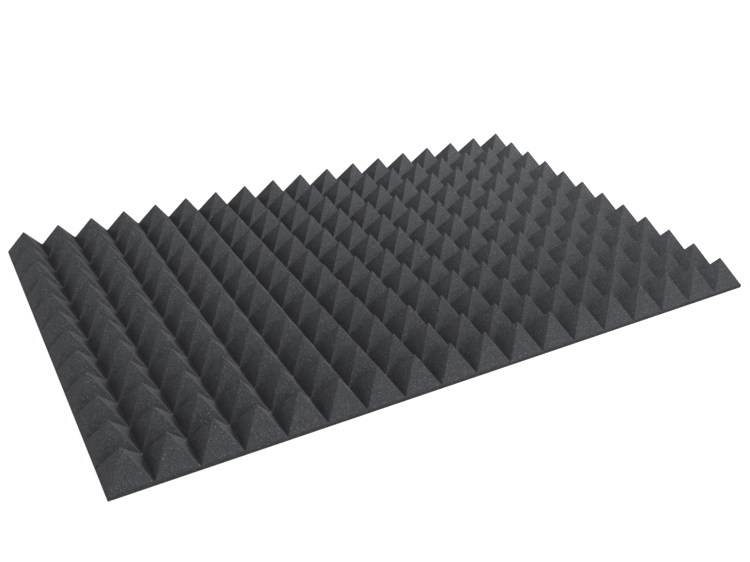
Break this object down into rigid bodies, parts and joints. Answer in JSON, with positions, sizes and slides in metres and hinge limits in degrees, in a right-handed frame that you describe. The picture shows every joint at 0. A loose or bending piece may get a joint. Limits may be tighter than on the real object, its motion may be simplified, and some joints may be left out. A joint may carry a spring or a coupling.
{
  "type": "acoustic foam panel",
  "caption": "Rectangular sound-absorbing foam panel with a flat back to glue on and rows of square pyramids on its front.",
  "frame": {"origin": "centre of the flat back, the face that is glued to the wall", "axes": "+X along the panel, +Y across it, +Z from the back to the pyramid tips"},
  "size_m": [1.5, 1, 0.07],
  "materials": {
    "foam": "matte open-cell foam, charcoal"
  },
  "bodies": {
    "root": {"foam_panel": "foam"}
  },
  "joints": []
}
